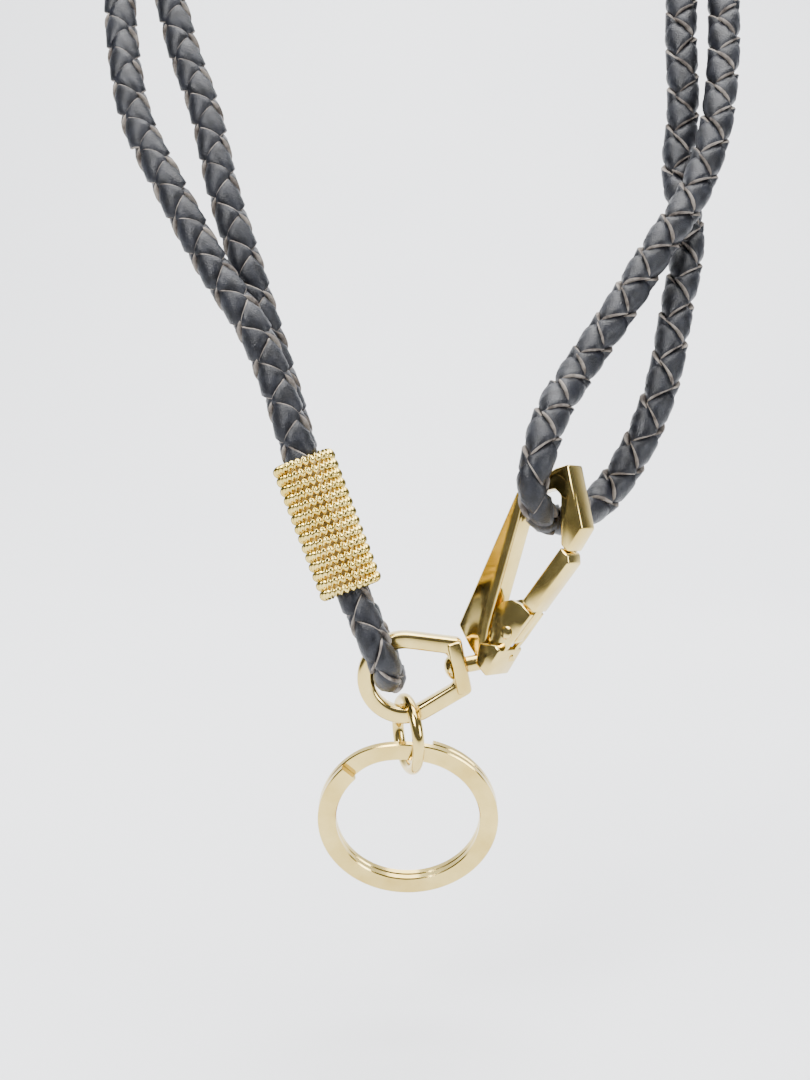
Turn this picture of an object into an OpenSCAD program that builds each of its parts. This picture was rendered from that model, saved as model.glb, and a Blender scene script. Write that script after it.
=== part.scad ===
// Doubled braided-leather lanyard, worn as a necklace. One long round cord runs twice round
// the neck. Both of its ends meet in an oval metal sleeve, below which a short end loop holds
// a D-ring. A swivel post joins the D-ring to a snap hook, and the hook closes round the bight
// of the cord. A jump ring and a split key ring hang from the D-ring.
// Millimetres. Front is -Y, up is +Z. The origin is on the inner face of the cord at the
// middle of its back, where it rests on the neck.

/* [Cord] */
// Diameter of the braided cord
cord_d = 7.2; // [6:0.1:7.4]
// Diameter of the cord where it folds round the D-ring
loop_d = 6.3; // [5:0.1:6.8]
// Diameter of the cord where the hook holds it
bight_d = 6.2; // [5:0.1:6.8]
// How far the cord and hook lean back from upright, in degrees
lean = 12; // [12:1:12]

/* [Sleeve] */
// Width of the sleeve, across both passes of cord
sleeve_w = 11.8; // [11:0.1:13]
// Length of the sleeve
sleeve_len = 28; // [24:0.5:30]
// Wall of the sleeve
sleeve_wall = 1.6; // [1:0.1:1.8]
// Depth that the oval adds to the round width
sleeve_oval = 6; // [6:0.1:8]

/* [D-ring] */
// Outer radius of the D-ring's round end
dee_r = 9.4; // [9:0.1:10]
// Distance from the round end's centre to the outer face of the straight bar
dee_reach = 12.6; // [12:0.1:14]
// Length of the straight bar
bar_len = 11.1; // [10:0.1:12]
// Width of the D-ring's band in its own plane
band_w = 2.9; // [2.6:0.1:3]
// Depth of the band along the round end
band_depth = 3.2; // [3:0.1:3.4]
// Depth of the straight bar, which the swivel post passes through
bar_depth = 4.4; // [4.2:0.1:5]

/* [Swivel post] */
// Diameter of the post in the D-ring's bar
post_d = 2.6; // [2.2:0.1:2.6]
// Diameter of the collar between the bar and the hook
collar_d = 3.3; // [3:0.1:3.4]
// Diameter of the post's domed head
head_d = 5; // [4:0.1:5]
// Radial play of a shaft that turns in its hole
play = 0.06; // [0.02:0.01:0.1]

/* [Snap hook] */
// Angle between the hook's plane and the front, in degrees
hook_turn = 38; // [38:1:38]
// Thickness of the hook's spine and nose
hook_t = 5; // [4.8:0.1:5.2]
// Thickness of the hook's base
base_t = 8; // [7.6:0.1:8]
// Thickness of the gate
gate_t = 4.9; // [4.6:0.1:5]
// Width of the gate
gate_w = 3.45; // [3:0.05:3.6]
// Diameter of the gate's hinge pin
pin_d = 1.6; // [1.4:0.1:1.6]
// Wire of the gate's torsion spring
spring_wire = 0.4; // [0.3:0.05:0.4]

/* [Jump ring] */
// Wire diameter of the jump ring
jump_wire = 2.4; // [2:0.1:2.4]
// Inner radius of the jump ring
jump_r = 5.9; // [5.9:0.1:6.2]

/* [Key ring] */
// Outer radius of the split ring
key_r = 18.7; // [17:0.1:19]
// Width of its flat strip
key_band = 3.8; // [3.4:0.1:3.8]
// Thickness of one turn of the strip
key_turn_t = 1.55; // [1.4:0.05:1.55]
// Space from the middle of one turn to the middle of the next
key_pitch = 1.62; // [1.62:0.01:1.7]
// How far the key ring leans back from upright, in degrees
key_lean = 14; // [0:1:15]

/* [Hidden] */
$fn = 64;

leather = "#2b2b33";
gold = "#d8b65a";
steel = "#b9bcc0";

// The point of the worn lanyard that rests on the back of the neck.
neck_point = [0, 112.5, 150];

// Routes of the cord's middle line, in the leaning frame.
inner_route = [
    [-19.5, 3.7, 3], [-24.5, 3.9, 16], [-28, 7, 28], [-32.5, 11, 42.5], [-37, 13.5, 57],
    [-42.5, 18, 74], [-47, 24, 92], [-53.5, 30.5, 110.5], [-57.5, 38, 130], [-54.5, 50, 148],
    [-44, 66, 161], [-24, 78.5, 169], [0, 82.5, 171], [24, 78.5, 169], [44, 66, 161],
    [54.5, 50, 148], [58, 39, 131], [57, 31.5, 111], [56.5, 27, 92], [55, 24.5, 81],
    [56, 18, 63.5], [52.5, 12, 48], [48.5, 8, 31], [43, 7, 18], [36, 4, 8.5],
    [30, -2, 4.8], [23.6, -8.3, 4.2]];
outer_route = [
    [23.6, -8.3, 4.2], [21, -13.3, 6.9], [20.3, -15.5, 11.3], [21.5, -15.2, 16.5],
    [24, -11, 23.5], [31, -1, 34.5], [39, 3.5, 46], [48, 8, 60], [56, 13, 72],
    [61.5, 18, 86], [64.5, 24, 100], [66.5, 32, 119], [67, 40, 135], [63, 52, 151],
    [51, 68, 165.5], [28, 81.5, 175], [0, 86, 178], [-28, 81.5, 175], [-51, 68, 165.5],
    [-63, 52, 151], [-67.5, 40, 135], [-67, 32, 119], [-65, 26, 105], [-61.5, 20, 90.5],
    [-52.5, 12.5, 72.5], [-43, 7, 55.5], [-34, 2.5, 41.5], [-28.5, -1, 28],
    [-24.5, -3.9, 16], [-19.5, -3.7, 3]];
loop_route = [
    [-19.5, -3.7, 3], [-17, -3.8, -3.8], [-14.6, -4.3, -10], [-12, -6, -15.5],
    [-9.4, -7, -21.3], [-7.7, -5.2, -25.3], [-6.9, -0.8, -27.5], [-7.7, 3.4, -25.3],
    [-9.4, 5.1, -21.3], [-12, 4.9, -15.5], [-14.6, 4.2, -10], [-17, 3.8, -3.8],
    [-19.5, 3.7, 3]];

// Places of the hardware.
sleeve_at = [-19.5, 0, 3];     // leaning frame
sleeve_tilt = -20.7;
hook_at = [13, 0, 0];            // leaning frame
bar_at = [8.25, -5.18, -24.36];
post_rise = 12;                // the post's slope to the right, in degrees
rim_at = [-3.4, -5.18, -34.9];  // middle of the D-ring's band over the jump ring
jump_hang = 4.2;               // from there to the middle of the jump ring
jump_tilt = 6;
jump_turn = 17;
key_hang = 7.6;                // from there to the middle of the key ring's strip

// The gate's hinge in the hook's own plane, and the direction of the closed gate.
pivot = [5.6, -18.2];
gate_angle = 49.8;
gate_start = 7;
gate_end = 20.3;
gate_slant = 1.3;
ear_r = 6.7;
ear_gap = 2.6;
barrel_r = 2.3;

function unit(v) = v / norm(v);
function tangent(p, i) = unit(p[min(i + 1, len(p) - 1)] - p[max(i - 1, 0)]);
function square_to(n, t) = unit(n - (n * t) * t);
// One normal at each point of a path, carried along it without twist.
function carried(p, start) =
    [for (i = 0, n = square_to(start, tangent(p, 0)); i < len(p);
        i = i + 1, n = i < len(p) ? square_to(n, tangent(p, i)) : n) n];
function ring_of(at, n, b, outline) = [for (q = outline) at + q[0] * n + q[1] * b];
function round_outline(r, sides) = [for (k = [0:sides - 1]) r * [cos(360 * k / sides), sin(360 * k / sides)]];

// A solid through rings of points, closed by a flat face at each end, or end to end.
module skin(rings, closed = false) {
    m = len(rings[0]);
    last = len(rings) - 1;
    walls = [for (i = [0:closed ? last : last - 1]) for (k = [0:m - 1])
        let (j = i == last ? 0 : i + 1, k2 = (k + 1) % m) [i * m + k, j * m + k, j * m + k2, i * m + k2]];
    ends = closed ? [] : [[for (k = [0:m - 1]) k], [for (k = [m - 1:-1:0]) last * m + k]];
    polyhedron(points = [for (r = rings) each r], faces = concat(walls, ends), convexity = 10);
}

// A round tube along a path. The hook and its own bend squeeze it where squeezed says so.
module tube(path, d, sides, start, squeezed = []) {
    n = carried(path, start);
    skin([for (i = [0:len(path) - 1])
        let (size = len([for (k = squeezed) if (k == i) k]) > 0 ? bight_d : d)
        ring_of(path[i], n[i], cross(tangent(path, i), n[i]), round_outline(size / 2, sides))]);
}

// The frame of the worn part.
module worn() {
    translate(-neck_point) children();
}

// The frame of the cord, sleeve and hook, which lean back.
module leaning() {
    worn() rotate([-lean, 0, 0]) children();
}

// The hook's own plane: x to the right, y up, z towards the front.
module hook_frame() {
    leaning() translate(hook_at) rotate([90, 0, -hook_turn]) children();
}

// The D-ring's own plane: x along the post, with 0 at the bar's outer face.
module dee_frame() {
    worn() translate(bar_at) rotate([90, 0, 0]) rotate([0, 0, post_rise]) children();
}

module slab(thickness) {
    translate([0, 0, -thickness / 2]) linear_extrude(thickness) children();
}

module cord_inner_pass() {
    last = len(inner_route) - 1;
    color(leather) leaning() tube(inner_route, cord_d, 10, [0, 1, 0], [last - 1, last]);
}

module cord_outer_pass() {
    color(leather) leaning() tube(outer_route, cord_d, 10, [0, 1, 0], [0, 1, 2]);
}

module cord_end_loop() {
    color(leather) leaning() tube(loop_route, loop_d, 10, [1, 0, 0]);
}

module oval(r, stretch) {
    for (side = [-1, 1]) translate([0, side * stretch / 2]) circle(r);
    square([2 * r, stretch], center = true);
}

module sleeve() {
    color(gold) leaning() translate(sleeve_at) rotate([0, sleeve_tilt, 0])
        slab(sleeve_len) difference() {
            oval(sleeve_w / 2, sleeve_oval);
            oval(sleeve_w / 2 - sleeve_wall, sleeve_oval);
        }
}

// Half of the D-ring's middle line, from the bar's middle round to the round end's tip.
dee_mid_r = dee_r - band_w / 2;
dee_centre = [-dee_reach, 0];
bar_x = -band_w / 2;
bar_y = bar_len / 2 - band_w / 2;
corner = [bar_x, bar_y];
side_slope = atan2(corner[1], corner[0] + dee_reach) + acos(dee_mid_r / norm(corner - dee_centre));
dee_half = concat(
    [[bar_x, 0], [bar_x, bar_y - 1.5], [bar_x, bar_y - 0.5]],
    [[bar_x - 0.4, bar_y + 0.25]],
    [for (a = [side_slope:(180 - side_slope) / 16:179.9]) dee_centre + dee_mid_r * [cos(a), sin(a)]]);
dee_line = concat(dee_half, [[-dee_reach - dee_mid_r, 0]],
    [for (i = [len(dee_half) - 1:-1:1]) [dee_half[i][0], -dee_half[i][1]]]);

// The band's outline is a rectangle with its corners cut. The bar is deeper than the rest.
function band_outline(depth, cut = 0.75) = let (w = band_w / 2, h = depth / 2)
    [[w, -h + cut], [w, h - cut], [w - cut, h], [cut - w, h], [-w, h - cut], [-w, cut - h], [cut - w, -h], [w - cut, -h]];
function around(list, i) = list[(i + len(list)) % len(list)];
function turn_2d(v) = [v[1], -v[0]];

module d_ring() {
    rings = [for (i = [0:len(dee_line) - 1])
        let (p = dee_line[i],
            before = unit(p - around(dee_line, i - 1)),
            after = unit(around(dee_line, i + 1) - p),
            out = turn_2d(unit(before + after)),
            wide = 1 / (out * turn_2d(after)),
            depth = p[0] > bar_x - 0.2 ? bar_depth : band_depth)
        [for (q = band_outline(depth)) [p[0] + q[0] * wide * out[0], p[1] + q[0] * wide * out[1], q[1]]]];
    color(gold) dee_frame() difference() {
        skin(rings, closed = true);
        translate([-band_w - 1, 0, 0]) rotate([0, 90, 0]) cylinder(d = post_d + 2 * play, h = band_w + 2);
    }
}

// The post runs along x from its domed head, inside the D-ring, into the hook's base.
head_h = 1.5;
head_gap = 0.1;
head_ball = (pow(head_d / 2, 2) + pow(head_h, 2)) / (2 * head_h);
collar_end = 5.3;
post_end = 9.6;

module swivel_post() {
    color(gold) dee_frame() rotate([0, 90, 0]) {
        translate([0, 0, -band_w - head_gap]) intersection() {
            translate([0, 0, head_ball - head_h]) sphere(head_ball);
            translate([0, 0, -head_h]) cylinder(d = head_d, h = head_h);
        }
        translate([0, 0, -band_w - head_gap]) cylinder(d = post_d, h = band_w + head_gap + post_end);
        translate([0, 0, head_gap]) cylinder(d = collar_d, h = collar_end - head_gap);
    }
}

hook_outline = [[-6.1, -17.1], [7.9, 9.4], [16.9, 13.8], [20, 14.5], [22.9, 2.1], [19.7, -2.4],
    [18, -1], [18, 8.6], [16.6, 9.9], [13.4, 9.4], [10.6, 8.5], [9.4, 6.8], [8.8, 4.9],
    [3.2, -11.8], [1.2, -17.7], [0.6, -21.5], [-0.9, -24.5], [-3.4, -21.4]];
base_outline = [[-0.9, -24.5], [1.6, -27], [5.2, -21.8], [4.2, -20.7], [0.1, -20.2]];
ear_outline = [[1.2, -20.6], [3.9, -12], [8, -9], [13, -12], [11.3, -14.8], [7.2, -19.6], [5.2, -21.8], [2, -24]];

module hook_body() {
    color(gold) difference() {
        hook_frame() {
            slab(hook_t) polygon(hook_outline);
            slab(base_t) polygon(base_outline);
            difference() {
                slab(hook_t) intersection() {
                    polygon(ear_outline);
                    translate(pivot) circle(ear_r);
                }
                slab(ear_gap) translate(pivot) circle(ear_r + 1);
                translate([pivot[0], pivot[1], -hook_t]) cylinder(d = pin_d, h = 2 * hook_t);
            }
        }
        dee_frame() rotate([0, 90, 0]) {
            cylinder(d = collar_d, h = collar_end);
            cylinder(d = post_d, h = post_end);
        }
    }
}

// The gate's own frame: x along the closed gate from its hinge, z towards the front.
module gate_frame() {
    hook_frame() translate([pivot[0], pivot[1], 0]) rotate([0, 0, gate_angle]) children();
}

gate_in = 1.35;                 // from the hinge's line to the gate's inner face
gate_out = gate_in - gate_w;
coil_r = 1.3;
coil_room = 1.75;
slot_w = 1.1;

module gate() {
    color(gold) gate_frame() difference() {
        union() {
            slab(gate_t) polygon([[gate_start, gate_out], [gate_end - gate_slant, gate_out],
                [gate_end, gate_out + gate_slant], [gate_end, gate_in], [gate_start, gate_in]]);
            slab(ear_gap - 0.2) {
                circle(barrel_r);
                translate([0, gate_out]) square([gate_start + 0.5, gate_w]);
            }
        }
        translate([0, 0, -gate_t]) cylinder(d = pin_d + 2 * play, h = 2 * gate_t);
        slab(slot_w) {
            circle(coil_room);
            translate([0, coil_r - 0.45]) square([6, 0.9]);
            translate([-4, -coil_r - 0.45]) square([4, 0.9]);
        }
    }
}

module gate_pin() {
    pin_head_h = 0.5;
    color(gold) hook_frame() translate([pivot[0], pivot[1], 0]) {
        translate([0, 0, -hook_t / 2]) cylinder(d = pin_d, h = hook_t);
        translate([0, 0, hook_t / 2]) cylinder(d1 = 2.6, d2 = 1.8, h = pin_head_h);
    }
}

// One and a half turns round the pin, one leg along the gate and one towards the base.
coil_turns = 1;
coil_step = 30;
coil_rise = 0.64;
spring_path = concat(
    [[5.2, coil_r, coil_rise / 2]],
    [for (a = [0:coil_step:360 * coil_turns + 180]) [coil_r * sin(a), coil_r * cos(a), coil_rise * (0.5 - a / (360 * coil_turns + 180))]],
    [[-2.6, -coil_r, -coil_rise / 2]]);

module gate_spring() {
    color(steel) gate_frame() tube(spring_path, spring_wire, 8, [0, 0, 1]);
}

module jump_ring() {
    color(gold) worn() translate(rim_at) rotate([jump_tilt, 0, 0]) translate([0, 0, -jump_hang])
        rotate([0, 90, jump_turn]) rotate_extrude() translate([jump_r + jump_wire / 2, 0]) circle(d = jump_wire, $fn = 32);
}

// The strip makes nearly two turns, and steps from one turn to the next near the top.
key_start = 136;
key_step_from = 440;
key_step_to = 490;
key_stop = 794;
key_arc = 7;
function eased(t) = t <= 0 ? 0 : t >= 1 ? 1 : t * t * (3 - 2 * t);
function key_side(a) = key_pitch * (0.5 - eased((a - key_step_from) / (key_step_to - key_step_from)));

module key_ring() {
    r = key_r - key_band / 2;
    strip = [for (a = [key_start:key_arc:key_stop])
        let (out = [cos(a), 0, sin(a)], mid = r * out + [0, -key_side(a), 0])
        [for (q = [[-1, -1], [1, -1], [1, 1], [-1, 1]]) mid + q[0] * key_band / 2 * out + [0, q[1] * key_turn_t / 2, 0]]];
    color(gold) worn() translate(rim_at) rotate([jump_tilt, 0, 0]) translate([0, 0, -key_hang])
        rotate([-jump_tilt + key_lean, 0, 0]) translate([0, 0, -r]) skin(strip);
}

cord_inner_pass();
cord_outer_pass();
cord_end_loop();
sleeve();
d_ring();
swivel_post();
hook_body();
gate();
gate_pin();
gate_spring();
jump_ring();
key_ring();
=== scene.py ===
"""The looks of a doubled braided-leather lanyard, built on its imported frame."""

import math

import bpy
import numpy as np
from mathutils import Matrix, Vector


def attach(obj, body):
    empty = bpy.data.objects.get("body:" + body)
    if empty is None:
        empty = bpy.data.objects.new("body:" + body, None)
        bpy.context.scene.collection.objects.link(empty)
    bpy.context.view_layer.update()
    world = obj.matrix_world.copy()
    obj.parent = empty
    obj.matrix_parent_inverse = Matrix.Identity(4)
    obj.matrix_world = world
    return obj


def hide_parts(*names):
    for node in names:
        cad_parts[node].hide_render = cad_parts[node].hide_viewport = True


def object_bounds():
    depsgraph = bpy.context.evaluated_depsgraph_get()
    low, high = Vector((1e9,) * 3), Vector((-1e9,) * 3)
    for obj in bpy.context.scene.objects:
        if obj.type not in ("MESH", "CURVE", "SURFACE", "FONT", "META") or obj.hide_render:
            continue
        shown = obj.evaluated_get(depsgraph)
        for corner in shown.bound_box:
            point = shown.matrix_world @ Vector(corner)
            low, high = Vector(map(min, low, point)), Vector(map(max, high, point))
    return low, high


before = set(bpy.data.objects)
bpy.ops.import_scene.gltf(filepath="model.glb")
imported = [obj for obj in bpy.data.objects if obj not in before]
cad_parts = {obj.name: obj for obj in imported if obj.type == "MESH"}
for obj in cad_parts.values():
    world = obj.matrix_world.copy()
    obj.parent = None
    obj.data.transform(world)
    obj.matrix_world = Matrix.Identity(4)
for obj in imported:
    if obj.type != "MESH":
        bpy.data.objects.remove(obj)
cad_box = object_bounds()

# Pieces are made in millimetres and degrees, and the places below turn them into metres.
MM = 0.001
LEAN = 12                       # of the whole necklace, back from upright
NECK_POINT = (0, 112.5, 150)    # where the cord rests on the neck, in the leaning frame


# ---------------------------------------------------------------- places

def shift(x, y, z):
    return Matrix.Translation((x, y, z))


def turn(degrees, axis):
    return Matrix.Rotation(math.radians(degrees), 4, axis)


PIVOT = (5.6, -18.2)            # the gate's hinge, in the hook's own plane
JUMP_HANG = 4.2                 # from the D-ring's band to the jump ring's middle
KEY_HANG = 7.6                  # from the D-ring's band to the key ring's strip
KEY_R = 16.8                    # of the middle of the key ring's strip

WORN = Matrix.Scale(MM, 4) @ shift(*[-v for v in NECK_POINT])
LEANING = WORN @ turn(-LEAN, "X")
SLEEVE = LEANING @ shift(-19.5, 0, 3) @ turn(-20.7, "Y")
HOOK = LEANING @ shift(13, 0, 0) @ turn(-38, "Z") @ turn(90, "X")
GATE = HOOK @ shift(*PIVOT, 0) @ turn(49.8, "Z")
DEE = WORN @ shift(8.25, -5.18, -24.36) @ turn(90, "X") @ turn(12, "Z")
RIM = WORN @ shift(-3.4, -5.18, -34.9) @ turn(6, "X")
JUMP = RIM @ shift(0, 0, -JUMP_HANG) @ turn(17, "Z") @ turn(90, "Y")
KEY = RIM @ shift(0, 0, -KEY_HANG) @ turn(8, "X") @ shift(0, 0, -KEY_R) @ turn(90, "X")


# ---------------------------------------------------------------- camera

VIEW_DISTANCE = 300
VIEW_HEIGHT = 216
SENSOR = 36


def make_camera():
    data = bpy.data.cameras.new("camera")
    data.sensor_width = SENSOR
    data.lens = SENSOR * VIEW_DISTANCE / VIEW_HEIGHT
    data.clip_start = 0.01
    camera = bpy.data.objects.new("camera", data)
    bpy.context.scene.collection.objects.link(camera)
    place = LEANING @ Vector((-4, -VIEW_DISTANCE, 0))
    camera.matrix_world = Matrix.Translation(place) @ turn(-LEAN, "X") @ turn(90, "X")
    bpy.context.scene.camera = camera


make_camera()


# ---------------------------------------------------------------- materials

class Sock:
    """A socket of a material's node tree, with arithmetic."""

    def __init__(self, tree, socket):
        self.tree = tree
        self.socket = socket

    def node(self, kind, output=0, settings=None, **inputs):
        """A node's output, with sockets set by name, or by number as i0, i1."""
        made = self.tree.nodes.new("ShaderNode" + kind)
        for name, value in (settings or {}).items():
            setattr(made, name, value)
        for name, value in inputs.items():
            target = made.inputs[int(name[1:]) if name[1:].isdigit() else name]
            if isinstance(value, Sock):
                self.tree.links.new(value.socket, target)
            else:
                target.default_value = value
        return Sock(self.tree, made.outputs[output])

    def math(self, operation, other):
        return self.node("Math", settings={"operation": operation}, i0=self, i1=other)

    def __add__(self, other):
        return self.math("ADD", other)

    def __mul__(self, other):
        return self.math("MULTIPLY", other)

    __radd__ = __add__
    __rmul__ = __mul__

    def between(self, low, high, start=0.0, end=1.0):
        """This value's range from low to high, spread out from start to end."""
        return self.node("MapRange", i1=low, i2=high, i3=start, i4=end, Value=self)

    def cloud(self, start=0.0, end=1.0):
        """A noise's usual range, spread out from start to end."""
        return self.between(0.3, 0.7, start, end)

    def tint(self, dark, light):
        return self.node("Mix", output=2, settings={"data_type": "RGBA"},
                         i0=self, i6=(*dark, 1), i7=(*light, 1))

    def noise(self, scale, detail):
        return self.node("TexNoise", Vector=self, Scale=scale, Detail=detail)

    def cells(self, scale):
        return self.node("TexVoronoi", Vector=self, Scale=scale)

    def bump(self, strength, depth):
        return self.node("Bump", Strength=strength, Distance=depth, Height=self)


def material(name, **constants):
    """A material with its constants set, its object coordinates, and what feeds its shader."""
    made = bpy.data.materials.new(name)
    made.use_nodes = True
    tree = made.node_tree
    shader = tree.nodes["Principled BSDF"]
    for key, value in constants.items():
        shader.inputs[key.replace("_", " ")].default_value = value
    place = Sock(tree, None).node("TexCoord", output=3)

    def feed(**sockets):
        for key, value in sockets.items():
            tree.links.new(value.socket, shader.inputs[key.replace("_", " ")])
    return made, place, feed


def leather(name, dark, light, smooth, rough):
    made, place, feed = material(name, Specular_IOR_Level=0.34)
    mottle = place.noise(420, 4).between(0.35, 0.65)
    grain = place.cells(3400) * 0.6 + place.noise(5200, 2) * 0.5
    feed(Base_Color=mottle.tint(dark, light),
         Roughness=place.noise(260, 3).cloud(smooth, rough),
         Normal=grain.bump(0.45, 0.0002))
    return made


def metal(name, dark, light, smooth, rough):
    made, place, feed = material(name, Metallic=1.0)
    feed(Base_Color=place.noise(160, 4).cloud().tint(dark, light),
         Roughness=place.noise(330, 5).cloud(smooth, rough),
         Normal=place.noise(2600, 4).bump(0.05, 0.00006))
    return made


LEATHER = leather("black leather", (0.003, 0.0033, 0.005), (0.012, 0.013, 0.018), 0.30, 0.50)
RAW_EDGE = leather("raw leather edge", (0.07, 0.058, 0.050), (0.26, 0.23, 0.20), 0.8, 0.95)
GOLD = metal("pale gold", (0.58, 0.42, 0.12), (0.76, 0.59, 0.21), 0.09, 0.19)
ROPE_GOLD = metal("yellow gold", (0.64, 0.47, 0.10), (0.84, 0.66, 0.21), 0.12, 0.26)
# darker gold for the sleeve's wall: painted shade for the crevices between the rope rows
SHADE_PAINTED_GOLD = metal("gold painted with crevice shade", (0.30, 0.20, 0.07), (0.42, 0.29, 0.11), 0.35, 0.5)
STEEL = metal("spring wire", (0.50, 0.50, 0.52), (0.62, 0.62, 0.64), 0.2, 0.35)


# ---------------------------------------------------------------- modelling

MEET = 0.001                    # points nearer than this are one


def pick(obj):
    """Makes obj the only selected object, and the active one."""
    if bpy.context.object and bpy.context.object.mode != "OBJECT":
        done()
    bpy.ops.object.select_all(action="DESELECT")
    if obj:
        obj.select_set(True)
        bpy.context.view_layer.objects.active = obj


def edit():
    bpy.ops.object.mode_set(mode="EDIT")


def done():
    bpy.ops.object.mode_set(mode="OBJECT")


def face_outward(obj):
    """Turns all faces of a closed solid to the outside."""
    pick(obj)
    edit()
    bpy.ops.mesh.select_all(action="SELECT")
    bpy.ops.mesh.normals_make_consistent(inside=False)
    done()
    return obj


def outline(points):
    """A new object: a closed flat face through points, drawn corner by corner."""
    pick(None)
    bpy.ops.mesh.primitive_plane_add(size=1)
    edit()
    bpy.ops.mesh.merge(type="CENTER")
    bpy.ops.transform.translate(value=(*points[0], 0))
    for a, b in zip(points, points[1:]):
        bpy.ops.mesh.extrude_vertices_move(
            TRANSFORM_OT_translate={"value": (b[0] - a[0], b[1] - a[1], 0)})
    bpy.ops.mesh.select_all(action="SELECT")
    bpy.ops.mesh.edge_face_add()
    done()
    return bpy.context.object


def plate(points, low, high):
    """A flat plate of the outline, from height low to height high."""
    made = outline(points)
    edit()
    bpy.ops.transform.translate(value=(0, 0, low))
    bpy.ops.mesh.extrude_region_move(TRANSFORM_OT_translate={"value": (0, 0, high - low)})
    done()
    return face_outward(made)


def rod(radius, low, high):
    """A round rod about z, from height low to height high."""
    pick(None)
    bpy.ops.mesh.primitive_cylinder_add(
        vertices=48, radius=radius, depth=high - low, location=(0, 0, (low + high) / 2))
    bpy.ops.object.transform_apply(location=True, rotation=True, scale=True)
    return bpy.context.object


def block(low, high):
    """A box between two opposite corners."""
    pick(None)
    bpy.ops.mesh.primitive_cube_add(size=1)
    made = bpy.context.object
    made.scale = [b - a for a, b in zip(low, high)]
    made.location = [(a + b) / 2 for a, b in zip(low, high)]
    bpy.ops.object.transform_apply(location=True, rotation=True, scale=True)
    return made


def modify(obj, kind, **settings):
    """Adds a modifier and applies it."""
    pick(obj)
    modifier = obj.modifiers.new(kind.lower(), kind)
    for name, value in settings.items():
        setattr(modifier, name, value)
    bpy.ops.object.modifier_apply(modifier=modifier.name)
    return obj


def cut(obj, tool):
    """Takes the tool's shape out of obj, and uses the tool up."""
    modify(obj, "BOOLEAN", operation="DIFFERENCE", object=tool, solver="EXACT")
    bpy.data.objects.remove(tool)
    return obj


def bevel(obj, width, segments=3, angle=30):
    return modify(obj, "BEVEL", width=width, segments=segments,
                  limit_method="ANGLE", angle_limit=math.radians(angle))


def lathe(profile):
    """A turned solid about z. The profile is (radius, height) from bottom to top."""
    made = outline(profile)
    edit()
    bpy.ops.mesh.select_all(action="SELECT")
    bpy.ops.mesh.delete(type="ONLY_FACE")
    done()
    made.rotation_euler = (math.radians(90), 0, 0)
    bpy.ops.object.transform_apply(location=True, rotation=True, scale=True)
    modify(made, "SCREW", steps=64, render_steps=64, use_merge_vertices=True,
           merge_threshold=MEET)
    edit()
    bpy.ops.mesh.select_all(action="SELECT")
    bpy.ops.mesh.remove_doubles(threshold=MEET)
    done()
    return face_outward(made)


def join(parts):
    """Joins parts, of which none has a material yet, into the first of them."""
    pick(parts[0])
    for part in parts[1:]:
        part.select_set(True)
    bpy.ops.object.join()
    return parts[0]


def finish(obj, name, place, mat, body, node=None, smooth=32):
    """Puts a piece made in millimetres in its place, and ties it to the frame."""
    pick(obj)
    obj.name = obj.data.name = name
    obj.data.transform(place)
    obj.data.update()
    if smooth:
        bpy.ops.object.shade_smooth_by_angle(angle=math.radians(smooth))
    if not obj.data.materials:
        obj.data.materials.append(mat)
    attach(obj, body)
    if node:
        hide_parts(node)
    return obj


def swept(name, vertices, faces):
    """A smooth-shaded object of points and faces that were worked out in code."""
    mesh = bpy.data.meshes.new(name)
    mesh.from_pydata(vertices, [], faces)
    mesh.polygons.foreach_set("use_smooth", [True] * len(faces))
    obj = bpy.data.objects.new(name, mesh)
    bpy.context.scene.collection.objects.link(obj)
    return obj


# ---------------------------------------------------------------- cord

# Middle lines in the leaning frame, from the sleeve round to the sleeve again.
INNER_ROUTE = [
    (-19.5, 3.7, 3), (-24.5, 3.9, 16), (-28, 7, 28), (-32.5, 11, 42.5), (-37, 13.5, 57),
    (-42.5, 18, 74), (-47, 24, 92), (-53.5, 30.5, 110.5), (-57.5, 38, 130), (-54.5, 50, 148),
    (-44, 66, 161), (-24, 78.5, 169), (0, 82.5, 171), (24, 78.5, 169), (44, 66, 161),
    (54.5, 50, 148), (58, 39, 131), (57, 31.5, 111), (56.5, 27, 92), (55, 24.5, 81),
    (56, 18, 63.5), (52.5, 12, 48), (48.5, 8, 31), (43, 7, 18), (36, 4, 8.5),
    (30, -2, 4.8), (23.6, -8.3, 4.2)]
OUTER_ROUTE = [
    (23.6, -8.3, 4.2), (21, -13.3, 6.9), (20.3, -15.5, 11.3), (21.5, -15.2, 16.5),
    (24, -11, 23.5), (31, -1, 34.5), (39, 3.5, 46), (48, 8, 60), (56, 13, 72),
    (61.5, 18, 86), (64.5, 24, 100), (66.5, 32, 119), (67, 40, 135), (63, 52, 151),
    (51, 68, 165.5), (28, 81.5, 175), (0, 86, 178), (-28, 81.5, 175), (-51, 68, 165.5),
    (-63, 52, 151), (-67.5, 40, 135), (-67, 32, 119), (-65, 26, 105), (-61.5, 20, 90.5),
    (-52.5, 12.5, 72.5), (-43, 7, 55.5), (-34, 2.5, 41.5), (-28.5, -1, 28),
    (-24.5, -3.9, 16), (-19.5, -3.7, 3)]
LOOP_ROUTE = [
    (-19.5, -3.7, 3), (-17, -3.8, -3.8), (-14.6, -4.3, -10), (-12, -6, -15.5),
    (-9.4, -7, -21.3), (-7.7, -5.2, -25.3), (-6.9, -0.8, -27.5), (-7.7, 3.4, -25.3),
    (-9.4, 5.1, -21.3), (-12, 4.9, -15.5), (-14.6, 4.2, -10), (-17, 3.8, -3.8),
    (-19.5, 3.7, 3)]


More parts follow.
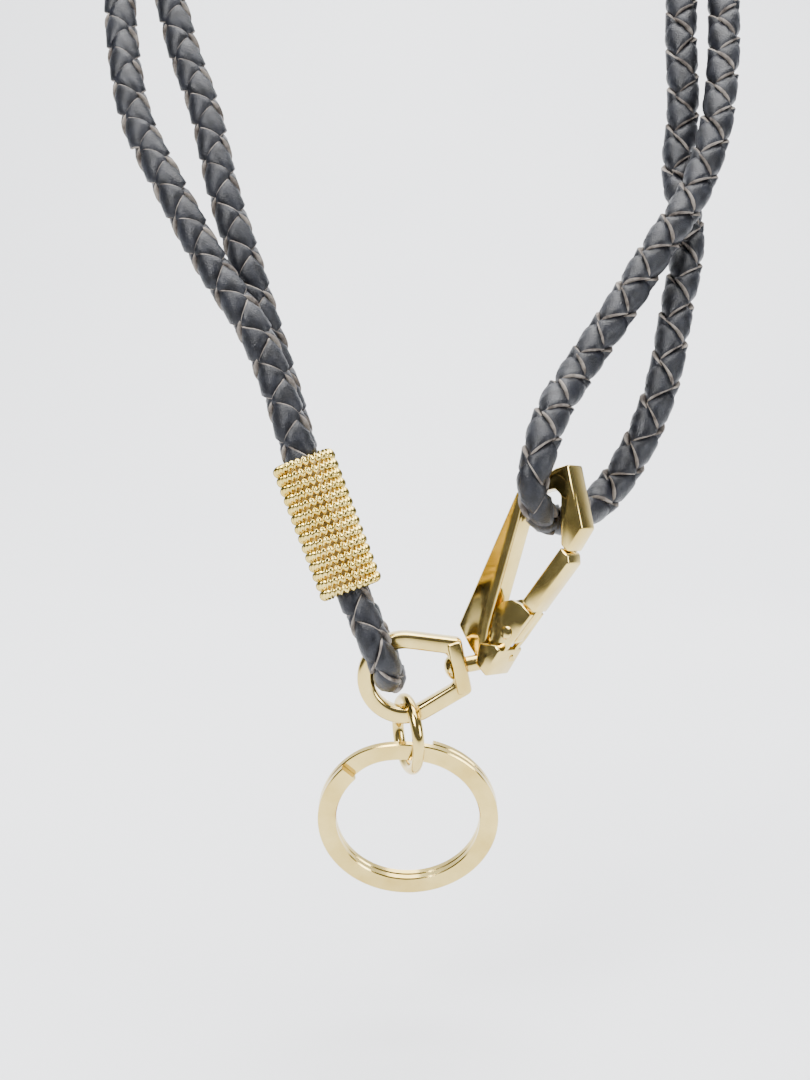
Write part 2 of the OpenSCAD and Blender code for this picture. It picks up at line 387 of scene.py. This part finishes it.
def smooth_route(route, step):
    """Points at an even distance along a smooth curve through the route's points."""
    p = np.array(route, float)
    gap = np.linalg.norm(np.diff(p, axis=0), axis=1)
    t = np.concatenate([[0], np.cumsum(gap)])
    slope = np.diff(p, axis=0) / gap[:, None]
    m = np.vstack([slope[:1], (slope[:-1] * gap[1:, None] + slope[1:] * gap[:-1, None])
                   / (gap[1:] + gap[:-1])[:, None], slope[-1:]])
    fine = np.linspace(0, t[-1], int(t[-1] / 0.1))
    i = np.clip(np.searchsorted(t, fine, side="right") - 1, 0, len(gap) - 1)
    u = ((fine - t[i]) / gap[i])[:, None]
    g = gap[i][:, None]
    curve = ((2 * u**3 - 3 * u**2 + 1) * p[i] + (u**3 - 2 * u**2 + u) * g * m[i]
             + (3 * u**2 - 2 * u**3) * p[i + 1] + (u**3 - u**2) * g * m[i + 1])
    run = np.concatenate([[0], np.cumsum(np.linalg.norm(np.diff(curve, axis=0), axis=1))])
    even = np.linspace(0, run[-1], int(round(run[-1] / step)) + 1)
    return np.column_stack([np.interp(even, run, curve[:, k]) for k in range(3)]), even


def carried_frames(p, start):
    """The normal and second normal at each point, carried along without twist."""
    t = np.gradient(p, axis=0)
    t /= np.linalg.norm(t, axis=1)[:, None]
    n = np.zeros_like(p)
    last = np.array(start, float)
    for i in range(len(p)):
        last = last - t[i] * (last @ t[i])
        last /= np.linalg.norm(last)
        n[i] = last
    return n, np.cross(t, n)


BRAID_STEP = 0.55
path, along = smooth_route(INNER_ROUTE + OUTER_ROUTE[1:] + LOOP_ROUTE[1:], BRAID_STEP)
path_n, path_b = carried_frames(path, (0, 1, 0))
bight = int(np.argmin(np.linalg.norm(path - np.array(INNER_ROUTE[-1]), axis=1)))

# A lace's section: across in half widths, and height in half thicknesses.
LACE_SECTION = [
    (-0.92, 1.14), (-0.6, 1.0), (0, 1.12), (0.6, 1.0), (0.92, 1.14), (1.0, 0.7), (1.0, -0.8),
    (0.8, -1.0), (0, -1.0), (-0.8, -1.0), (-1.0, -0.8), (-1.0, 0.7)]
RAW_SIDES = (4, 5, 10, 11)      # sides of the section that show the raw edge
STRANDS = 4
LACE_WIDTH = 6.1
LACE_THICK = 1.35
LACE_SLANT = math.radians(39)
BRAID_PERIOD = 18.4             # along the cord, for one turn of a lace
BRAID_START = math.radians(45)
MEAN_RADIUS = 2.05              # of a lace's middle
SWING = 0.80                    # that it rises over and dips under the others
CROSSING = 1.7                  # how quickly it changes from over to under
WRAP_RADIUS = 2.55              # round which a lace's width bends
KNOT_GAP = 6.5                  # between the random values of waver and swell
WAVER = 0.26
SWELL = 0.05
# Squeeze, the length it holds for, and the length it fades over.
LOOP_SQUEEZE = (0.08, 66, 12)
BIGHT_SQUEEZE = (0.11, 11, 6)


def squeeze(distance, amount, reach, fade):
    """How much thinner the cord is at a distance from where it is squeezed most."""
    return amount * np.clip((reach + fade - distance) / fade, 0, 1)


def lace(first, last, hand, phase, seed):
    """Rings of points of one lace of the braid, between two points of the path."""
    rng = np.random.default_rng(seed)
    s = along[first:last + 1]
    knots = np.arange(s[0] - 20, s[-1] + 40, KNOT_GAP)
    waver = np.interp(s, knots, rng.normal(0, WAVER, len(knots)))
    swell = np.interp(s, knots, rng.normal(1, SWELL, len(knots)))
    girth = (1 - squeeze(along[-1] - s, *LOOP_SQUEEZE)
             - squeeze(np.abs(s - along[bight]), *BIGHT_SQUEEZE))
    theta = hand * 2 * math.pi / BRAID_PERIOD * s + phase + BRAID_START
    over = np.tanh(CROSSING * np.cos(4 * math.pi * s / BRAID_PERIOD)) / math.tanh(CROSSING)
    radius = MEAN_RADIUS + hand * SWING * over
    points = []
    for across, height in LACE_SECTION:
        u = across * LACE_WIDTH / 2 * swell + waver
        at = np.clip(s - hand * math.sin(LACE_SLANT) * u * girth, s[0], s[-1])
        angle = theta + math.cos(LACE_SLANT) * u / WRAP_RADIUS
        r = (radius + height * LACE_THICK / 2) * girth
        p, n, b = (np.column_stack([np.interp(at, along, line[:, c]) for c in range(3)])
                   for line in (path, path_n, path_b))
        points.append(p + (r * np.cos(angle))[:, None] * n + (r * np.sin(angle))[:, None] * b)
    return np.stack(points, axis=1)


def braid(name, first, last):
    """The four laces between two points of the path, two of them wound each way."""
    count = len(LACE_SECTION)
    vertices, faces, slots = [], [], []
    for strand in range(STRANDS):
        hand = 1 if strand < STRANDS / 2 else -1
        rings = lace(first, last, hand, (strand % 2) * math.pi, strand + 1)
        base = len(vertices)
        vertices.extend(rings.reshape(-1, 3).tolist())
        for i in range(len(rings) - 1):
            for j in range(count):
                a, b = base + i * count + j, base + i * count + (j + 1) % count
                faces.append((a, a + count, b + count, b))
                slots.append(1 if j in RAW_SIDES else 0)
        end = base + (len(rings) - 1) * count
        faces.append(tuple(base + j for j in range(count)))
        faces.append(tuple(end + j for j in reversed(range(count))))
        slots.extend([1, 1])
    obj = swept(name, vertices, faces)
    obj.data.materials.append(LEATHER)
    obj.data.materials.append(RAW_EDGE)
    obj.data.polygons.foreach_set("material_index", slots)
    return face_outward(obj)


def make_cord():
    """Both passes of the one cord. They meet at its fold in the hook."""
    end = len(path) - 1
    inner = finish(braid("cord_inner", 0, bight), "cord_inner", LEANING, LEATHER, "strap",
                   "cord_inner_pass", smooth=0)
    outer = finish(braid("cord_outer", bight, end), "cord_outer", LEANING, LEATHER, "strap",
                   smooth=0)
    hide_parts("cord_outer_pass", "cord_end_loop")


make_cord()


# ---------------------------------------------------------------- sleeve

SLEEVE_HALF = 14                # half of its length
SLEEVE_OVAL = 6                 # between the middles of its two round sides
WALL_OUT = 5.35
WALL_IN = 4.35
WALL_SHORT = 0.3                # of each end of the sleeve
ROWS = 14
ROW_PITCH = 2
ROW_R = 5.3
BEADS = 38                      # half twists of a row's wire, once round
BEAD_STEPS = 8
WIRE_SIDES = 10
WIRE_HALF = (1.1, 0.616)        # half the wire's width and thickness


def oval(radius, steps=24):
    """A round outline stretched along y."""
    arcs = []
    for side, start in ((1, 0), (-1, 180)):
        for i in range(steps + 1):
            a = math.radians(start + 180 * i / steps)
            arcs.append((radius * math.cos(a), side * SLEEVE_OVAL / 2 + radius * math.sin(a)))
    return arcs


def rope_row():
    """One closed ring of flat twisted wire round the sleeve."""
    around = [(x, y, 0) for x, y in oval(ROW_R, 32)] + [(ROW_R, SLEEVE_OVAL / 2, 0)]
    ring, run = smooth_route(around, 0.1)
    count = BEADS * BEAD_STEPS
    at = np.linspace(0, run[-1], count + 1)[:-1]
    p = np.column_stack([np.interp(at, run, ring[:, c]) for c in range(3)])
    ahead = np.roll(p, -1, axis=0) - np.roll(p, 1, axis=0)
    ahead /= np.linalg.norm(ahead, axis=1)[:, None]
    out = np.column_stack([ahead[:, 1], -ahead[:, 0], 0 * ahead[:, 0]])
    up = np.array([0.0, 0.0, 1.0])
    vertices, faces = [], []
    for i in range(count):
        twist = math.pi * i / BEAD_STEPS
        ahead_of = (i + 1) % count * WIRE_SIDES
        for j in range(WIRE_SIDES):
            a = 2 * math.pi * j / WIRE_SIDES
            x, y = WIRE_HALF[0] * math.cos(a), WIRE_HALF[1] * math.sin(a)
            across = x * math.cos(twist) - y * math.sin(twist)
            upward = x * math.sin(twist) + y * math.cos(twist)
            vertices.append(tuple(p[i] + across * out[i] + upward * up))
            k = (j + 1) % WIRE_SIDES
            faces.append((i * WIRE_SIDES + j, ahead_of + j, ahead_of + k, i * WIRE_SIDES + k))
    return swept("row", vertices, faces)


def make_sleeve():
    top = SLEEVE_HALF - WALL_SHORT
    wall = plate(oval(WALL_OUT), -top, top)
    cut(wall, plate(oval(WALL_IN), -SLEEVE_HALF - 1, SLEEVE_HALF + 1))
    # the wall seen between the rope rows wears the darker gold of painted shade
    finish(wall, "sleeve_wall", SLEEVE, SHADE_PAINTED_GOLD, "strap", "sleeve")
    row = rope_row()
    row.data.transform(shift(0, 0, ROW_PITCH / 2 - SLEEVE_HALF))
    modify(row, "ARRAY", count=ROWS, use_relative_offset=False, use_constant_offset=True,
           constant_offset_displace=(0, 0, ROW_PITCH))
    finish(face_outward(row), "sleeve_rope", SLEEVE, ROPE_GOLD, "strap", smooth=0)


make_sleeve()


# ---------------------------------------------------------------- D-ring and post

BAND_W = 3.25                   # of the round band, across
BAND_HALF = 1.7                 # half of its thickness
BAR_W = 2.9
BAR_HALF = (5.4, 2.2)           # half of the bar's length and thickness
DEE_R = 9.4
DEE_REACH = 12.6                # from the round end's middle to the bar's face
DEE_CORNER = 5.55               # from the middle to where band and bar meet
STEM_R = 1.3
STEM_PLAY = 0.06


def dee_outline(inset, steps=40):
    """The D's outline, moved inward. Its bar's face is at x = 0, its round end at -x."""
    corner = Vector((DEE_REACH, DEE_CORNER))
    slope = math.atan2(corner.y, corner.x) + math.acos(DEE_R / corner.length)
    r = DEE_R - inset
    y = (r - math.cos(slope) * (DEE_REACH - inset)) / math.sin(slope)
    turns = [slope + (2 * math.pi - 2 * slope) * i / steps for i in range(steps + 1)]
    arc = [(-DEE_REACH + r * math.cos(a), r * math.sin(a)) for a in turns]
    return [(-inset, y), *arc, (-inset, -y)]


def make_dee():
    rim = cut(plate(dee_outline(-0.1), -BAND_HALF, BAND_HALF), plate(dee_outline(BAND_W), -3, 3))
    bevel(rim, 0.95, 5, 50)
    length, depth = BAR_HALF
    bar = bevel(block((-BAR_W, -length, -depth), (0, length, depth)), 0.55)
    hole = rod(STEM_R + STEM_PLAY, -4, 4)
    hole.data.transform(shift(-BAR_W / 2, 0, 0) @ turn(90, "Y"))
    cut(bar, hole)
    finish(join([rim, bar]), "dee", DEE, GOLD, "d_ring", "d_ring")


def make_post():
    """A domed head inside the D, the stem through its bar, and a collar up to the hook."""
    head, under, collar, end = -4.5, 0.1, 5.3, 9.5
    collar_r = 1.65
    profile = [(0, head), (0.9, head + 0.14), (1.7, head + 0.5), (2.25, head + 0.95),
               (2.5, head + 1.4), (2.42, head + 1.5), (STEM_R, head + 1.5), (STEM_R, under),
               (1.5, under), (collar_r, under + 0.15), (collar_r, collar), (STEM_R, collar),
               (STEM_R, end), (0, end)]
    post = lathe(profile)
    post.data.transform(turn(90, "Y"))
    finish(post, "post", DEE, GOLD, "hook", "swivel_post")


make_dee()
make_post()


# ---------------------------------------------------------------- hook and gate

HOOK_OUTLINE = [
    (-6.1, -17.1), (7.9, 9.4), (16.9, 13.8), (20, 14.5), (22.9, 2.1), (19.7, -2.4), (18, -1),
    (18, 8.6), (16.6, 9.9), (13.4, 9.4), (10.6, 8.5), (9.4, 6.8), (8.8, 4.9), (3.2, -11.8),
    (1.2, -17.7), (0.6, -21.5), (-0.9, -24.5), (-3.4, -21.4)]
BASE_OUTLINE = [(-0.9, -24.5), (1.6, -27), (5.2, -21.8), (4.2, -20.7), (0.1, -20.2)]
EAR_OUTLINE = [
    (1.2, -20.6), (2.0, -17), (2.7, -14.2), (4.3, -12.2), (6.6, -11.7), (9.3, -12.6),
    (11.3, -14.6), (8.8, -17.6), (7.2, -19.6), (5.2, -21.8), (2, -24)]
HOOK_HALF = 2.5                 # half of the hook's thickness
BASE_HALF = 4
EAR_HALF = 2.48
EAR_SLOT = 1.3                  # from the hook's middle to an ear
PIN_R = 0.8
PIN_PLAY = 0.06
BAR_START = 7                   # the gate's bar, from its hinge
BAR_END = 20.85
GATE_IN = 1.35                  # its inner and outer faces, from the hinge's line
GATE_OUT = -2.1
GATE_HALF = 2.45
TONGUE_HALF = 1.2
TONGUE_END = 7.4
BARREL_R = 2.3


def make_hook():
    frame_plate = bevel(plate(HOOK_OUTLINE, -HOOK_HALF, HOOK_HALF), 0.5)
    base = bevel(plate(BASE_OUTLINE, -BASE_HALF, BASE_HALF), 0.45)
    ears = [bevel(plate(EAR_OUTLINE, low, high), 0.22, 2)
            for low, high in ((EAR_SLOT, EAR_HALF), (-EAR_HALF, -EAR_SLOT))]
    finish(join([frame_plate, base, *ears]), "hook", HOOK, GOLD, "hook",
           "hook_body")


def make_pin():
    """The hinge pin, with one low head on the near ear."""
    t = HOOK_HALF
    pin = lathe([(0, -t), (PIN_R, -t), (PIN_R, t), (1.3, t), (1.3, t + 0.12), (1.1, t + 0.36),
                 (0.7, t + 0.48), (0, t + 0.5)])
    pin.data.transform(shift(*PIVOT, 0))
    finish(pin, "pin", HOOK, GOLD, "hook", "gate_pin")


def make_gate():
    """The bar that closes the throat, and the tongue that holds it on the pin."""
    slant = 1.3
    bar = plate([(BAR_START, GATE_OUT), (BAR_END - slant, GATE_OUT), (BAR_END, GATE_OUT + slant),
                 (BAR_END, GATE_IN), (BAR_START, GATE_IN)], -GATE_HALF, GATE_HALF)
    bevel(bar, 0.4)
    barrel = [(BARREL_R * math.cos(a), BARREL_R * math.sin(a)) for a in
              [math.radians(30 + 10 * i) for i in range(25)]]
    tongue = plate(barrel + [(0.6, GATE_OUT), (TONGUE_END, GATE_OUT), (TONGUE_END, GATE_IN),
                             (2.2, GATE_IN)], -TONGUE_HALF, TONGUE_HALF)
    bevel(tongue, 0.2, 2, 40)
    cut(tongue, rod(PIN_R + PIN_PLAY, -3, 3))
    finish(join([bar, tongue]), "snap_gate", GATE, GOLD, "gate", "gate")


make_hook()
make_pin()
make_gate()
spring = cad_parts["gate_spring"]
spring.data.materials.clear()
spring.data.materials.append(STEEL)


# ---------------------------------------------------------------- rings

JUMP_R = 7.1                    # of the middle of its wire
JUMP_WIRE_R = 1.2
KEY_HALF = (1.9, 0.77)          # half of the strip's width and thickness
KEY_PITCH = 1.62                # between its two turns, side to side
KEY_START = 136                 # the strip's first angle
KEY_STEP = 3.5
KEY_STEPS = 188
KEY_CROSS = (440, 490)          # angles between which it changes sides


def make_jump_ring():
    pick(None)
    bpy.ops.mesh.primitive_torus_add(major_radius=JUMP_R, minor_radius=JUMP_WIRE_R,
                                     major_segments=96, minor_segments=24)
    finish(bpy.context.object, "jump", JUMP, GOLD, "jump_ring", "jump_ring",
           smooth=60)


def key_side(angle):
    """How far to the side of the ring's middle plane the strip lies."""
    start, end = KEY_CROSS
    t = min(max((angle - start) / (end - start), 0), 1)
    return KEY_PITCH * (0.5 - t * t * (3 - 2 * t))


def make_key_ring():
    """Its strip's end face is drawn, then pulled round the ring step by step."""
    (w, h), c = KEY_HALF, 0.22
    strip = outline([(w, -h + c), (w, h - c), (w - c, h), (c - w, h), (-w, h - c), (-w, c - h),
                     (c - w, -h), (w - c, -h)])
    strip.data.transform(turn(90, "X"))
    strip.data.transform(shift(KEY_R, 0, key_side(KEY_START)))
    strip.data.transform(turn(KEY_START, "Z"))
    edit()
    bpy.ops.mesh.select_all(action="SELECT")
    for step in range(KEY_STEPS):
        angle = KEY_START + step * KEY_STEP
        rise = key_side(angle + KEY_STEP) - key_side(angle)
        bpy.ops.mesh.extrude_region_move(TRANSFORM_OT_translate={"value": (0, 0, rise)})
        bpy.ops.transform.rotate(value=-math.radians(KEY_STEP), orient_axis="Z",
                                 center_override=(0, 0, 0))
    done()
    finish(face_outward(strip), "key", KEY, GOLD, "key_ring", "key_ring",
           smooth=30)


make_jump_ring()
make_key_ring()


# ---------------------------------------------------------------- stage

FLOOR_HALF = 3                  # metres, as is all of the stage
FLOOR_FRONT = -2.5
FLOOR_BACK = 0.9
FLOOR_DROP = 0.03               # below the lowest point of the key ring
WALL_HEIGHT = 3
WALL_CURVE = 0.6
HARDWARE = (0, -0.12, -0.17)


def make_stage():
    """A plain floor that curves up into a plain wall behind."""
    pale, place, feed = material("studio floor", Specular_IOR_Level=0.2)
    feed(Base_Color=place.noise(6, 2).cloud().tint((0.84, 0.85, 0.88), (0.87, 0.88, 0.90)),
         Roughness=place.noise(40, 2).cloud(0.55, 0.65))
    floor = outline([(-FLOOR_HALF, FLOOR_FRONT), (FLOOR_HALF, FLOOR_FRONT),
                     (FLOOR_HALF, FLOOR_BACK), (-FLOOR_HALF, FLOOR_BACK)])
    pick(floor)
    edit()
    bpy.ops.mesh.select_all(action="DESELECT")
    done()
    for edge in floor.data.edges:
        ends = [floor.data.vertices[i].co.y for i in edge.vertices]
        edge.select = min(ends) > FLOOR_BACK - 0.1
    edit()
    bpy.ops.mesh.extrude_edges_move(TRANSFORM_OT_translate={"value": (0, 0, WALL_HEIGHT)})
    done()
    bevel(floor, WALL_CURVE, 16)
    floor.data.transform(shift(0, 0, cad_box[0][2] - FLOOR_DROP))
    floor.name = "floor"
    bpy.ops.object.shade_smooth()
    floor.data.materials.append(pale)


def lamp(name, place, aim, size, power, tone=(1, 1, 1)):
    """A square soft light at a place, turned towards its aim."""
    data = bpy.data.lights.new(name, "AREA")
    data.size = size
    data.energy = power
    data.color = tone
    light = bpy.data.objects.new(name, data)
    bpy.context.scene.collection.objects.link(light)
    light.location = place
    light.rotation_euler = (Vector(aim) - Vector(place)).to_track_quat("-Z", "Y").to_euler()


def make_world():
    world = bpy.data.worlds.new("studio")
    world.use_nodes = True
    background = world.node_tree.nodes["Background"]
    background.inputs["Color"].default_value = (0.90, 0.93, 1.0, 1)
    background.inputs["Strength"].default_value = 0.20
    bpy.context.scene.world = world


make_stage()
lamp("key", (-0.40, -0.55, 0.35), HARDWARE, 0.35, 8.0)
lamp("fill", (0.70, -0.55, 0.10), HARDWARE, 0.35, 5.0, (0.96, 0.98, 1))
lamp("top", (0.1, 0.25, 0.6), (0, 0.1, -0.2), 0.8, 12.0)
lamp("backdrop", (0, 0.0, 1.1), (0, 0.9, 0.0), 1.2, 34.0)
make_world()
